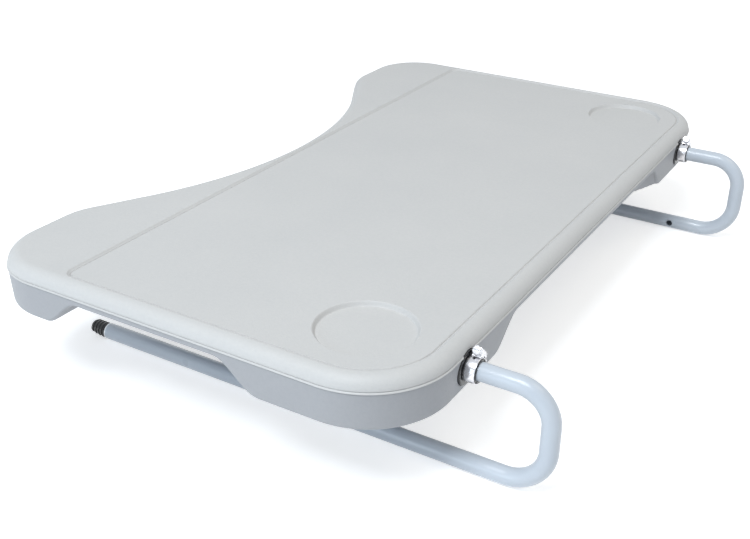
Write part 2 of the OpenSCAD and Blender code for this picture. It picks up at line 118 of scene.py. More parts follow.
# Shell walls and edges. A share of the bead is (inwards, up), as parts of its depth and height. The skirt
# starts lip_in inside the widest line, under a groove, and draws in by draft_in down to the feet. The
# underside's grid ends floor_in inside the widest line.
wall = 3
rim_h = rim_z - parting_z
bead_h, bead_in = 1.6, 1.0
bead_shares = np.array([(0.5, 0), (0.1, 0.1), (0, 0.3), (0.05, 0.5), (0.3, 0.7), (0.9, 0.9), (1, 1)])
crease_d, crease_h = 0.6, 0.5
lip_in = 0.8
groove_d, groove_h = 0.5, 0.8
draft_in = 1.4
sole_edge_r = 4.5
arch_edge_r = 2.4
least_edge_r = 0.2
roof_z = rim_z - 19.5
floor_in = 9

# Feet and tack wells
front_foot_l, front_slope_l = 79, 42
rear_foot_l, rear_slope_l = 131, 42
foot_in, inner_slope_l = 93, 38
corner_cut_d, corner_cut_in, corner_slope_l = 20, 37, 13
tack_r, tack_tip_r = 13, 7
tack_step_x, tack_step_y = 105, rail_y - foot_in - inner_slope_l - tack_r - wall - 10
tack_gap = 0.05

# Rails. A cut edge is rounded by (length back from the cut, radius lost there).
tube_wall = 1.5
bore_r = tube_r - tube_wall
upper_bend_r = 30
lower_bend_r = 36
cut_edge = np.array([[0, 0.35], [0.12, 0.1], [0.4, 0]])
bare_l = 1.5
lock_hole_x, lock_hole_r = rear_x + 3, 3.6
pin_x, pin_r = leg_end_x + 9, 1.55
spigot_l, spigot_r = 20, bore_r - 0.05
tip_collar_l, tip_nose_l, tip_ribs = 2.0, 1.5, 4

# Sleeves, and the sockets and seats that hold them. Play is the gap round a piece that turns.
play = 0.08
flange_r, flange_t = 15, 2.4
flange_x = rear_x - flange_t
seat_x, seat_r = flange_x - play, flange_r + 0.5
sleeve_r, sleeve_bore_r = tube_r + 2.35, tube_r + 0.05
socket_r, socket_wall = sleeve_r + play, 2.5
socket_end_x = leg_end_x - 21.3
slit_w = 1.5

# Clamps. The angles of the tail and of the slots are degrees from Y towards Z in the clamp's own frame.
clamp_turn = math.radians(40)
band_in_r, band_t = sleeve_r + 0.05, 0.7
band_out_r = band_in_r + band_t
tail_r = band_out_r + 0.3
tail_span, bridge_l = (-9, 66), 4.8
band_slots, tail_slots = (-100, -24), (-4, 54)
slot_l, slot_w, slot_slant = 5.8, 1.2, 0.12
worm_r, worm_root_r, worm_l, worm_pitch = 2.6, 1.85, 10, 2.5
worm_z = band_out_r + 0.3 + worm_r
housing_wall = 0.9
housing_in_r = worm_r + 0.4
housing_r = housing_in_r + housing_wall
housing_l = worm_l + 2 * housing_wall
head_flat_r, head_l, head_gap = 3.5, 4, 0.3
neck_r, journal_r = 2.1, 1.5
driver_slot_w, driver_slot_d = 1.2, 1.3


# Meshes

def grid_faces(rows, cols, wrap_rows=False, wrap_cols=False):
    """Quads between neighbours on a grid of rows by cols points; a wrapped side closes on itself."""
    r = np.arange(rows if wrap_rows else rows - 1)
    c = np.arange(cols if wrap_cols else cols - 1)
    a, b = (v.ravel() for v in np.meshgrid(r, c, indexing="ij"))
    an, bn = (a + 1) % rows, (b + 1) % cols
    return np.stack([a * cols + b, an * cols + b, an * cols + bn, a * cols + bn], axis=1)


def piece(name, grids, smooth_angle=32, merge=0.004):
    """A mesh object from grids of points: each is (points as rows x cols x 3, wrap rows, wrap cols)."""
    points, faces, start = [], [], 0
    for grid, wrap_rows, wrap_cols in grids:
        rows, cols = grid.shape[:2]
        points.append(grid.reshape(-1, 3))
        faces.append(grid_faces(rows, cols, wrap_rows, wrap_cols) + start)
        start += rows * cols
    mesh = bpy.data.meshes.new(name)
    mesh.from_pydata((np.concatenate(points) * MM).tolist(), [], np.concatenate(faces).tolist())
    weld(mesh, merge)
    mesh.shade_smooth()
    mesh.set_sharp_from_angle(angle=math.radians(smooth_angle))
    obj = bpy.data.objects.new(name, mesh)
    bpy.context.scene.collection.objects.link(obj)
    return obj


def weld(mesh, merge):
    """Merges points that meet, drops what collapsed, and turns every face outwards."""
    bm = bmesh.new()
    bm.from_mesh(mesh)
    bmesh.ops.remove_doubles(bm, verts=bm.verts, dist=merge * MM)
    bmesh.ops.dissolve_degenerate(bm, edges=bm.edges, dist=merge * MM / 4)
    bmesh.ops.recalc_face_normals(bm, faces=bm.faces)
    bm.to_mesh(mesh)
    bm.free()


def stretch(start, end, count):
    """Evenly spaced values from start up to, but not including, end."""
    return np.linspace(start, end, count, endpoint=False)


def polar(centre, radius, angle):
    """Points on a circle."""
    ray = np.stack([np.cos(angle), np.sin(angle)], axis=-1)
    return np.asarray(centre) + ray * np.asarray(radius)[..., None]


def mirrored(grids):
    """The same grids and their mirror images across the centreline."""
    flip = np.array([1, -1, 1])
    return grids + [(grid * flip, rows, cols) for grid, rows, cols in grids]


def moved(grids, matrix):
    """Grids carried by a 4x4 matrix, which is in millimetres."""
    m = np.array(matrix)
    return [(grid @ m[:3, :3].T + m[:3, 3], rows, cols) for grid, rows, cols in grids]


def turned(profile, steps, start=0.0, sweep=math.tau):
    """A closed profile of (along, radius) points turned about the X axis; a part turn gets flat ends."""
    profile = np.asarray(profile, float)
    full = abs(sweep - math.tau) < 1e-9
    angle = start + (stretch(0, sweep, steps) if full else np.linspace(0, sweep, steps))
    along = np.broadcast_to(profile[None, :, 0], (len(angle), len(profile)))
    out = polar((0, 0), profile[None, :, 1] * np.ones((len(angle), 1)), angle[:, None])
    grid = np.concatenate([along[..., None], out], axis=-1)
    grids = [(grid, full, True)]
    if not full:
        for end in (0, -1):
            ring = grid[end]
            grids.append((np.stack([ring, np.broadcast_to(ring.mean(0), ring.shape)]), False, True))
    return grids


def rounded(corners, steps=4):
    """A closed outline from (x, y, radius) corners, each corner an arc of steps + 1 points."""
    corners = np.asarray(corners, float)
    xy, radius = corners[:, :2], corners[:, 2]
    to_last = np.roll(xy, 1, axis=0) - xy
    to_next = np.roll(xy, -1, axis=0) - xy
    to_last /= np.linalg.norm(to_last, axis=1, keepdims=True)
    to_next /= np.linalg.norm(to_next, axis=1, keepdims=True)
    half = np.arccos(np.clip((to_last * to_next).sum(1), -1, 1)) / 2
    middle = to_last + to_next
    middle /= np.linalg.norm(middle, axis=1, keepdims=True)
    centre = xy + middle * (radius / np.sin(half))[:, None]
    start = xy + to_last * (radius / np.tan(half))[:, None] - centre
    end = xy + to_next * (radius / np.tan(half))[:, None] - centre
    t = np.linspace(0, 1, steps + 1)[None, :, None]
    angle = math.pi / 2 - half[:, None, None]
    arc = start[:, None] * np.sin((1 - t) * 2 * angle) + end[:, None] * np.sin(t * 2 * angle)
    arc /= np.maximum(np.sin(2 * angle), 1e-9)
    return (centre[:, None] + arc).reshape(-1, 2)


def boolean(obj, operation, grids, smooth_angle=32):
    """Joins closed grids to a piece, or cuts them from it, and applies the result."""
    tool = piece("tool", grids)
    change = obj.modifiers.new("cut", "BOOLEAN")
    change.operation = operation
    change.solver = "EXACT"
    change.use_self = operation == "UNION"
    change.object = tool
    bpy.context.view_layer.update()
    result = bpy.data.meshes.new_from_object(obj.evaluated_get(bpy.context.evaluated_depsgraph_get()))
    obj.modifiers.remove(change)
    obj.data = result
    result.shade_smooth()
    result.set_sharp_from_angle(angle=math.radians(smooth_angle))
    bpy.data.objects.remove(tool)


def rod(radius, start, end, steps=48):
    """A closed cylinder along X."""
    return turned([(start, 0), (start, radius), (end, radius), (end, 0)], steps)


def smoothstep(t):
    """Half a cosine wave from 0 to 1."""
    return (1 - np.cos(math.pi * np.clip(t, 0, 1))) / 2


# Deck top

def half_outline():
    """The widest line for y over 0, from the middle of the rear edge to the middle of the cut-out, as
    straight stretches and arcs that join without a corner. Gives points, inward directions, and the name
    of each point's stretch."""
    quarter = math.pi / 2
    parts = []

    def line(start, end, inward, count, name):
        t = stretch(0, 1, count)[:, None]
        points = np.asarray(start) * (1 - t) + np.asarray(end) * t
        parts.append((points, np.tile(inward, (count, 1)), [name] * count))

    def arc(centre, radius, start, end, inward, count, name, last=False):
        angle = np.linspace(start, end, count, endpoint=last)
        ray = np.stack([np.cos(angle), np.sin(angle)], axis=1)
        parts.append((np.asarray(centre) + radius * ray, inward * ray, [name] * count))

    corner_x = panel_front_x + panel_front_r
    turn = np.array([math.cos(belly_turn), math.sin(belly_turn)])
    line((rear_x, 0), (rear_x, rear_arc[1]), (-1, 0), 40, "rear")
    arc(rear_arc, rear_corner_r, 0, quarter, -1, 44, "rear corner")
    line((rear_arc[0], side_y), (corner_x, side_y), (0, -1), 36, "side")
    line((corner_x, side_y), (front_arc[0], side_y), (0, -1), 12, "panel corner")
    arc(front_arc, front_corner_r, quarter, 2 * quarter, -1, 36, "front")
    line((front_x, front_arc[1]), (front_x, horn_arc[1]), (1, 0), 8, "front")
    arc(horn_arc, horn_r, 2 * quarter, 2 * quarter + belly_turn, -1, 16, "front")
    line(horn_arc - horn_r * turn, belly_arc + belly_r * turn, turn, 10, "front")
    arc(belly_arc, belly_r, belly_turn, 0, 1, 56, "belly", last=True)
    points, inward, names = zip(*parts)
    return np.concatenate(points), np.concatenate(inward), np.array(sum(names, []))


def panel_outline(points, inward, names):
    """For each point of the widest line, its partner on the edge of the sunk panel and the direction
    that points into the panel."""
    edge = points + panel_margin * inward
    into = inward.copy()
    bend = np.flatnonzero(names == "panel corner")
    angle = math.pi / 2 + math.pi / 2 * np.arange(len(bend)) / len(bend)
    centre = np.array([panel_front_x + panel_front_r, panel_side_y - panel_front_r])
    edge[bend] = polar(centre, np.full(len(bend), panel_front_r), angle)
    into[bend] = -np.stack([np.cos(angle), np.sin(angle)], axis=1)
    belly = np.flatnonzero(names == "belly")
    reach = (panel_front_x - belly_arc[0]) / inward[belly, 0]
    edge[belly] = belly_arc + reach[:, None] * inward[belly]
    front = np.flatnonzero(names == "front")
    run = np.r_[0, np.cumsum(np.linalg.norm(np.diff(points[np.r_[front, belly[0]]], axis=0), axis=1))]
    y = np.interp(run[:-1], [0, run[-1]], [centre[1], edge[belly[0], 1]])
    edge[front] = np.stack([np.full(len(front), panel_front_x), y], axis=1)
    into[np.r_[front, belly]] = (1, 0)
    return edge, into


def lifted(xy, z):
    """Plan points with a height."""
    z = np.broadcast_to(np.asarray(z, float)[..., None], xy.shape[:-1] + (1,))
    return np.concatenate([xy, z], axis=-1)


def lead_rows(points, inward, inset):
    """The rows under the roll: the bead and its crease outside, and one row inside."""
    if inset:
        profile = np.array([(inset, parting_z)])
    else:
        bead = bead_shares * (bead_in, bead_h)
        crease = np.array([(bead_in + crease_d, bead_h), (bead_in + crease_d, bead_h + crease_h)])
        profile = np.concatenate([bead, crease]) + (0, parting_z)
    return [lifted(points + u * inward, np.full(len(points), z)) for u, z in profile]


def roll_rows(points, inward, room, inset):
    """The roll at the deck's edge, a quarter ellipse: start + wide (1 - cos a) inwards and low + tall sin a
    up. It stops early where the room inwards is short."""
    start, low = (inset, 0) if inset else (bead_in, bead_h + crease_d)
    wide, tall = rim_h - start, rim_h - inset - low
    end = np.arccos(np.clip(1 - (room + inset - start) / wide, -1, 1))
    rows = []
    for share in np.linspace(0, 1, 22):
        bend = share * end
        u = start + wide * (1 - np.cos(bend))
        rows.append(lifted(points + u[:, None] * inward, parting_z + low + tall * np.sin(bend)))
    return rows


def step_rows(roll_end, edge, into, inset):
    """From the roll to the panel: the flat rim, a step down of half a cosine wave, and the fine groove
    round the panel, a sine wave squared. A flat strip after each keeps its shading to itself."""
    rim_edge, crest = roll_end[:, :2], roll_end[:, 2]
    brink = edge - step_out * into
    floor = np.full(len(edge), panel_z - inset)
    rows = [lifted(rim_edge + share * (brink - rim_edge), crest) for share in (0.04, 0.96)]
    for s in np.linspace(0, 1, 12):
        xy = brink + s * (step_out + step_in) * into
        rows.append(lifted(xy, crest + (floor - crest) * smoothstep(s)))
    for s in stretch(0, 1, 8)[1:]:
        dip = 0 if inset else line_d * math.sin(math.pi * s) ** 2
        rows.append(lifted(edge + (step_in + line_w * s) * into, floor - dip))
    for strip in (0, flat_w):
        rows.append(lifted(edge + (step_in + line_w + strip) * into, floor))
    return rows


def cup_rings(ring, inset):
    """The panel's floor and the cup in it, as rings that shrink along rays to the cup's middle. The cup's
    side is half a cosine wave."""
    seam = np.linspace(ring[-1, 0], ring[0, 0], 44)[1:-1]
    loop = np.concatenate([ring[:, :2], np.stack([seam, np.zeros(len(seam))], axis=1)])
    ray = loop - cup_at
    ray /= np.linalg.norm(ray, axis=1, keepdims=True)
    brim = cup_r + inset + cup_edge_out
    profile = [(brim + flat_w, 0)]
    profile += [(brim - cup_edge_w * s, -cup_sink * smoothstep(s)) for s in np.linspace(0, 1, 13)]
    profile += [(brim - cup_edge_w - flat_w, -cup_sink), (brim / 2, -cup_sink), (0, -cup_sink)]
    floor = panel_z - inset
    rings = [lifted(loop, np.full(len(loop), floor))]
    rings += [lifted(cup_at + r * ray, np.full(len(loop), floor + drop)) for r, drop in profile]
    return np.stack(rings)


def deck_top_half(inset):
    """The upper surface for y over 0, inset from the outside by a wall: a profile carried round from the
    parting line to the panel's edge, and rings from there to the middle of the cup."""
    points, inward, names = half_outline()
    edge, into = panel_outline(points, inward, names)
    edge = edge - inset * into
    gap = np.linalg.norm(edge - points, axis=1)
    room = np.minimum(rim_h - inset, gap - inset - step_out - least_rim)
    rows = lead_rows(points, inward, inset) + roll_rows(points, inward, room, inset)
    rows += step_rows(rows[-1], edge, into, inset)
    return [(np.stack(rows, axis=1), False, False), (cup_rings(rows[-1], inset), False, True)]


def deck_top():
    """The top shell: its upper surface, the same surface inset by the wall, and the land between them."""
    outer, inner = deck_top_half(0), deck_top_half(wall)
    land = np.stack([outer[0][0][:, 0], inner[0][0][:, 0]])
    obj = piece("deck_top", mirrored(outer + inner + [(land, False, False)]))
    boolean(obj, "DIFFERENCE", at_each_rail(rod(seat_r, seat_x, rear_x + clear, steps=64)))
    return obj


# Deck underside

def underside(x, y):
    """Height of the underside: feet at sole height in the corners, roof height between them. Half waves
    along X, along Y and across the slanted inner corner of the rear feet are joined, s = 1 - (1 - a)(1 - b)
    (1 - c), so that their meetings are round."""
    along = smoothstep((x - front_x - front_foot_l) / front_slope_l)
    along = along * smoothstep((rear_x - rear_foot_l - x) / rear_slope_l)
    across = smoothstep((rail_y - foot_in - np.abs(y)) / inner_slope_l)
    slant = math.atan2(corner_cut_d, foot_in - corner_cut_in)
    off = (x - rear_x) * math.cos(slant) + (rail_y - corner_cut_in - np.abs(y)) * math.sin(slant)
    corner = smoothstep(off / corner_slope_l)
    raised = 1 - (1 - along) * (1 - across) * (1 - corner)
    return sole_z + (roof_z - sole_z) * raised


def floor_rows():
    """Y of the rows of the underside's grid, closest together where the outline bends."""
    deep = belly_r + floor_in
    horn = horn_r - floor_in
    front = front_corner_r - floor_in
    belly_end = deep * math.sin(belly_turn)
    horn_end = horn_arc[1] - horn * math.sin(belly_turn)
    angle = stretch(0, math.pi / 2, 20)
    return np.concatenate([
        deep * np.sin(stretch(0, belly_turn, 36)),
        stretch(belly_end, horn_end, 12),
        horn_arc[1] - horn * np.sin(belly_turn - stretch(0, belly_turn, 8)),
        stretch(horn_arc[1], front_arc[1], 12),
        front_arc[1] + front * np.sin(angle),
        [side_y - floor_in],
    ])


def rear_bound(y):
    """X and outward direction of the floor's rear edge at y."""
    rise = np.clip((y - rear_arc[1]) / (rear_corner_r - floor_in), 0, 1)
    angle = np.arcsin(rise)
    x = rear_arc[0] + (rear_corner_r - floor_in) * np.cos(angle)
    return x, np.stack([np.cos(angle), np.sin(angle)], axis=1)


def front_bound(y):
    """X and outward direction of the floor's front edge at y: cut-out, flank, horn, front and corner."""
    deep, horn, corner = belly_r + floor_in, horn_r - floor_in, front_corner_r - floor_in
    belly = np.arcsin(np.clip(y / deep, 0, math.sin(belly_turn)))
    past_belly = np.maximum(y - deep * math.sin(belly_turn), 0)
    x = belly_arc[0] + deep * np.cos(belly) - past_belly * math.tan(belly_turn)
    angle = math.pi + belly
    on_horn = y > horn_arc[1] - horn * math.sin(belly_turn)
    bend = np.arcsin(np.clip((horn_arc[1] - y) / horn, 0, 1))
    x = np.where(on_horn, horn_arc[0] - horn * np.cos(bend), x)
    angle = np.where(on_horn, math.pi + bend, angle)
    bend = np.arcsin(np.clip((y - front_arc[1]) / corner, 0, 1))
    on_corner = y > front_arc[1]
    x = np.where(on_corner, front_arc[0] - corner * np.cos(bend), x)
    angle = np.where(on_corner, math.pi - bend, angle)
    return x, np.stack([np.cos(angle), np.sin(angle)], axis=1)


def floor_grid(inset):
    """The underside inside its edge, as rows that run from the front edge to the rear edge. Gives the grid,
    the points round its rim and their outward directions."""
    y = floor_rows()
    front, front_out = front_bound(y)
    rear, rear_out = rear_bound(y)
    x = front[:, None] + (rear - front)[:, None] * np.linspace(0, 1, 120)
    y = np.broadcast_to(y[:, None], x.shape)
    floor = np.stack([x, y, underside(x, y) + inset], axis=-1)
    rim = np.concatenate([floor[:, 0], floor[-1, 1:-1], floor[::-1, -1]])
    side_out = np.tile((0.0, 1.0), (x.shape[1] - 2, 1))
    return floor, rim, np.concatenate([front_out, side_out, rear_out[::-1]])


def deck_under_half(inset):
    """The lower surface for y over 0, raised and drawn in by a wall: the floor, and a profile carried round
    it. The profile is flat, then a quarter circle, large at the feet and small at the arches, and then the
    skirt up to the shallow groove under the parting line."""
    floor, rim, out = floor_grid(inset)
    brink = rim[:, :2] + (floor_in - lip_in - draft_in - sole_edge_r) * out
    foot = underside(brink[:, 0], brink[:, 1])
    edge_r = arch_edge_r + (sole_edge_r - arch_edge_r) * (roof_z - foot) / (roof_z - sole_z)
    skirt_share = (parting_z - foot - edge_r) / (parting_z - sole_z - sole_edge_r)
    turn_u = lip_in + draft_in * np.clip(skirt_share, 0, 1)
    r = np.maximum(edge_r - inset, least_edge_r)
    rows = [rim]
    for bend in np.linspace(math.pi / 2, 0, 9):
        u = turn_u + inset + r - r * math.cos(bend)
        z = foot + inset + r - r * math.sin(bend)
        rows.append(lifted(rim[:, :2] + (floor_in - u)[:, None] * out, z))
    deep, high = (0, 0.3) if inset else (groove_d, groove_h)
    for u, below in ((lip_in + inset, high), (lip_in + inset + deep, 0)):
        rows.append(lifted(rim[:, :2] + (floor_in - u) * out, np.full(len(rim), parting_z - below)))
    return [(floor, False, False), (np.stack(rows), False, False)]


def at_each_rail(grids):
    """The same grids on the left and on the right upper leg's axis."""
    return [part for side in SIDES.values()
            for part in moved(grids, Matrix.Translation((0, side * rail_y, leg_z)))]


def tack_wells(grow, start, end):
    """Nine cones between the underside's roof and the panel's back."""
    middle = (panel_front_x + panel_rear_x) / 2
    upright = Matrix.Rotation(-math.pi / 2, 4, "Y")
    lean = (tack_r - tack_tip_r) / (panel_z - 2 * wall - roof_z)
    foot_r = tack_r + grow - lean * (start - roof_z)
    tip_r = tack_r + grow - lean * (end - grow - roof_z)
    cone = turned([(start, 0), (start, foot_r), (end, tip_r), (end, 0)], 40)
    grids = []
    for i in (-1, 0, 1):
        for j in (-1, 0, 1):
            place = Matrix.Translation((middle + i * tack_step_x, j * tack_step_y, 0))
            grids += moved(cone, place @ upright)
    return grids


def deck_under():
    """The bottom shell: its lower surface, the same surface inset by the wall, the land between them, the
    wells that weld to the panel's back, and the sockets that guide the rails."""
    outer, inner = deck_under_half(0), deck_under_half(wall)
    land = np.stack([outer[1][0][-1], inner[1][0][-1]])
    obj = piece("deck_underside", mirrored(outer + inner + [(land, False, False)]))
    # What is joined starts half a millimetre or more inside the wall, and a cut starts outside it.
    sockets = at_each_rail(rod(socket_r + socket_wall, socket_end_x - socket_wall, seat_x - 1))
    boolean(obj, "UNION", tack_wells(wall, roof_z + 0.5, panel_z - wall - tack_gap) + sockets)
    hollow = [(socket_end_x, 0), (socket_end_x, socket_r), (seat_x, socket_r),
              (seat_x, seat_r), (rear_x + clear, seat_r), (rear_x + clear, 0)]
    bores = tack_wells(0, roof_z - 1, panel_z - 2 * wall) + at_each_rail(turned(hollow, 64))
    boolean(obj, "DIFFERENCE", bores)
    return obj


# Rails

def rail_path():
    """The rail's axis in the XZ plane as (length along, point, normal): leg, bend, upright, bend and run.
    On a bend the point is centre + R (sin a, cos a); the normal is always the left of the way forward."""
    top, low = leg_z - upper_bend_r, tube_r + lower_bend_r
    x0, x1 = upright_x - upper_bend_r, upright_x - lower_bend_r
    bend = np.linspace(0, math.pi / 2, 25)
    rise, fall = np.stack([np.sin(bend), np.cos(bend)], 1), np.stack([np.cos(bend), -np.sin(bend)], 1)
    points = np.concatenate([[(leg_end_x, leg_z)], (x0, top) + upper_bend_r * rise,
                             (x1, low) + lower_bend_r * fall, [(run_end_x, tube_r)]])
    normals = np.concatenate([[(0, 1)], rise, fall, [(0, -1)]])
    along = np.r_[0, np.cumsum(np.linalg.norm(np.diff(points, axis=0), axis=1))]
    return along, points, normals


def rail(side):
    """A bent tube. A closed loop of (length along, radius) runs out over the outside, round the cut end
    and back along the bore, and is carried round the axis: p(s) + r (cos a N(s) + sin a Y)."""
    along, points, normals = rail_path()
    inner, last = along[1:-1], along[-1]
    loop = [(s, tube_r - cut) for s, cut in cut_edge] + [(s, tube_r) for s in inner]
    loop += [(last - s, tube_r - cut) for s, cut in cut_edge[::-1]]
    loop += [(last - s, bore_r + cut) for s, cut in cut_edge]
    loop += [(s, bore_r) for s in inner[::-1]] + [(s, bore_r + cut) for s, cut in cut_edge[::-1]]
    s, r = np.array(loop).T
    angle = stretch(0, math.tau, 56)
    centre = np.stack([np.interp(s, along, points[:, k]) for k in (0, 1)], axis=1)
    normal = np.stack([np.interp(s, along, normals[:, k]) for k in (0, 1)], axis=1)
    out = r[:, None] * np.cos(angle)
    grid = np.stack([
        centre[:, :1] + normal[:, :1] * out,
        side * rail_y + r[:, None] * np.sin(angle),
        centre[:, 1:] + normal[:, 1:] * out,
    ], axis=-1)
    obj = piece(f"rail_{side_name(side)}_tube", [(grid, True, True)])
    boolean(obj, "DIFFERENCE", rail_holes(side))
    return obj


def rail_holes(side):
    """The lock hole in the run's inner wall, and the guide pin's hole through the upper leg."""
    at_run = Matrix.Translation((lock_hole_x, side * rail_y, tube_r))
    at_leg = Matrix.Translation((pin_x, side * rail_y, leg_z))
    lock = moved(rod(lock_hole_r, 0, 2 * tube_r), at_run @ Matrix.Rotation(-side * math.pi / 2, 4, "Z"))
    pin = moved(rod(pin_r, -2 * tube_r, 2 * tube_r, 24), at_leg @ Matrix.Rotation(math.pi / 2, 4, "Y"))
    return lock + pin


def prism(outline, stations):
    """A convex outline in the XZ plane carried along Y. A station is (y, how far the outline draws in)."""
    outline = np.asarray(outline, float)
    middle = outline.mean(0)
    reach = np.linalg.norm(outline - middle, axis=1, keepdims=True)
    cap = np.tile(middle, (len(outline), 1))
    rings = [cap] + [middle + (outline - middle) * (1 - drawn / reach) for _, drawn in stations] + [cap]
    stops = [stations[0][0]] + [y for y, _ in stations] + [stations[-1][0]]
    rows = [np.stack([ring[:, 0], np.full(len(ring), y), ring[:, 1]], 1) for ring, y in zip(rings, stops)]
    return [(np.stack(rows), False, True)]


def rail_tip(side):
    """The black plug in a run's front end: a spigot, a collar and saw-tooth ribs turned about the run's
    axis, with a wedge cut away under its front."""
    neck, rib = tube_r - 0.9, tube_r - 0.3
    step = (tip_l - tip_collar_l - tip_nose_l) / tip_ribs
    profile = [(-spigot_l, 0), (-spigot_l, spigot_r - 0.3), (-spigot_l + 0.3, spigot_r), (0, spigot_r),
               (0, rib - 0.2), (0.2, rib), (tip_collar_l - 0.2, rib), (tip_collar_l, rib - 0.2),
               (tip_collar_l, neck)]
    for i in range(tip_ribs):
        back = tip_collar_l + step * (i + 1)
        foot = back - 0.45 * step
        profile += [(foot, neck), (foot, rib - 0.12), (foot + 0.15, rib - 0.03), (back, neck)]
    profile += [(tip_l - tip_nose_l, neck), (tip_l - 0.7, neck - 0.2), (tip_l - 0.2, neck - 0.5),
                (tip_l, neck - 0.75), (tip_l, 0)]
    place = Matrix.Translation((run_end_x, side * rail_y, tube_r))
    forward = place @ Matrix.Rotation(math.pi, 4, "Z")
    obj = piece(f"tip_{side_name(side)}", moved(turned(profile, 56), forward))
    wedge = [(-3, -tube_r), (-3, -2 * tube_r), (-tip_l - 1, -2 * tube_r), (-tip_l - 1, 0.5)]
    boolean(obj, "DIFFERENCE", moved(prism(wedge, [(-2 * tube_r, 0), (2 * tube_r, 0)]), place))
    return obj


# Sleeves and clamps

def sleeve(side):
    """A black bush turned about the leg's axis: a tube in the socket, a flange with a rounded brim in the
    rear wall's seat, and a collar with four slits that the clamp closes on the rail."""
    low, high = sleeve_low[0], sleeve_high[0]
    bore = sleeve_bore_r
    face = flange_x + flange_t
    brim = rounded([(flange_x, sleeve_r, 0.01), (flange_x, flange_r, 0.5), (face, flange_r, 1.1),
                    (face, sleeve_r, 0.01)], 6)
    brim = brim[brim[:, 1] > sleeve_r + 0.02]
    profile = [(low, bore + 0.4), (low + 0.4, bore), (high - 0.4, bore), (high, bore + 0.3)]
    profile += [(high, sleeve_r - 0.4), (high - 0.4, sleeve_r)]
    profile += [(face + 0.5, sleeve_r), (face, sleeve_r + 0.5)]
    profile += [tuple(point) for point in brim[::-1]]
    profile += [(flange_x, sleeve_r), (low + 0.5, sleeve_r), (low, sleeve_r - 0.4)]
    axis = Matrix.Translation((0, side * rail_y, leg_z))
    obj = piece(f"bush_{side_name(side)}", moved(turned(profile, 72), axis))
    half, edge = slit_w / 2, 0.05
    slit = [(-half, -clear, edge), (half, -clear, edge), (half, clear, edge), (-half, clear, edge)]
    cut = prism(rounded(slit, 1), [(face + 1, 0), (high + 5, 0)])
    for turn in (math.pi / 4, -math.pi / 4):
        place = axis @ Matrix.Rotation(turn, 4, "X") @ Matrix.Rotation(-math.pi / 2, 4, "Z")
        boolean(obj, "DIFFERENCE", moved(cut, place))
    return obj


def clamp_place(side, unit=1.0):
    """Where a clamp's own frame lies, X along the tube and Z out through the housing."""
    centre = Vector((band_x, side * rail_y, leg_z)) * unit
    return Matrix.Translation(centre) @ Matrix.Rotation(-clamp_turn, 4, "X")


def strip_section(in_r, out_r):
    """Section of a strip of the band's width, with rounded edges."""
    half = band_w / 2
    return rounded([(-half, in_r, 0.12), (half, in_r, 0.12), (half, out_r, 0.25), (-half, out_r, 0.25)], 3)


def worm_slots(start, stop, radius):
    """Slanted slots a worm's pitch apart, cut through a strip between two angles from Y towards Z."""
    along, across = slot_l / 2, slot_w / 2
    outline = rounded([(-along, -across, 0.5), (along, -across, 0.5), (along, across, 0.5),
                       (-along, across, 0.5)], 3)
    slot = prism(outline, [(-0.6, 0), (0.6, 0)])
    lean = Matrix.Rotation(slot_slant, 4, "Y")
    grids = []
    for angle in np.arange(math.radians(start), math.radians(stop), worm_pitch / radius):
        grids += moved(slot, Matrix.Rotation(angle, 4, "X") @ Matrix.Translation((0, radius, 0)) @ lean)
    return grids


def clamp_band(side):
    """A steel strip round the sleeve's collar. Its slotted tail lies over it beyond the housing, and a short
    bridge inside the housing joins the two."""
    tail_from, tail_to = np.radians(tail_span)
    bridge_from = tail_to - math.radians(bridge_l + 0.2)
    tail = turned(strip_section(tail_r, tail_r + band_t), 40, tail_from, tail_to - tail_from)
    bridge = strip_section(tail_r - 0.6, tail_r + band_t - 0.1)
    obj = piece(f"band_{side_name(side)}", turned(strip_section(band_in_r, band_out_r), 96))
    boolean(obj, "DIFFERENCE", worm_slots(*band_slots, band_in_r + band_t / 2))
    boolean(obj, "UNION", turned(bridge, 6, bridge_from, math.radians(bridge_l)))
    boolean(obj, "UNION", tail)
    boolean(obj, "DIFFERENCE", worm_slots(*tail_slots, tail_r + band_t / 2 + 0.02))
    obj.data.transform(clamp_place(side, MM))
    return obj


def saddle(half, foot):
    """An outline with straight sides from foot up to the worm's axis and a half circle over it."""
    angle = np.linspace(0, math.pi, 21)
    return np.concatenate([[(half, foot)], polar((0, worm_z), np.full(21, half), angle), [(-half, foot)]])


def clamp_housing(side):
    """The screw housing: a steel saddle over the worm, open below, with a hole in each end."""
    end = housing_l / 2
    foot = band_out_r * math.cos(math.asin(end / band_out_r)) - housing_wall
    stations = [(-end, 0.3), (-end + 0.1, 0.1), (-end + 0.3, 0)]
    stations += [(-y, drawn) for y, drawn in stations[::-1]]
    obj = piece(f"housing_{side_name(side)}", prism(saddle(housing_r, foot), stations))
    to_worm = Matrix.Translation((0, 0, worm_z)) @ Matrix.Rotation(math.pi / 2, 4, "Z")
    over_tail = tail_r + band_t + 0.3
    wedge = [(-clear, 0), (-clear, over_tail), (clear, over_tail), (clear, 0)]
    for cut in (
        prism(saddle(housing_in_r, 0), [(-worm_l / 2, 0), (worm_l / 2, 0)]),
        rod(band_out_r + 0.05, -clear, clear, 96),
        moved(rod(neck_r + play, -2 * end, 0), to_worm),
        moved(rod(journal_r + play, -1, 2 * end), to_worm),
        turned(wedge, 48, -0.02, math.pi / 2),
    ):
        boolean(obj, "DIFFERENCE", cut)
    obj.data.transform(clamp_place(side, MM))
    return obj


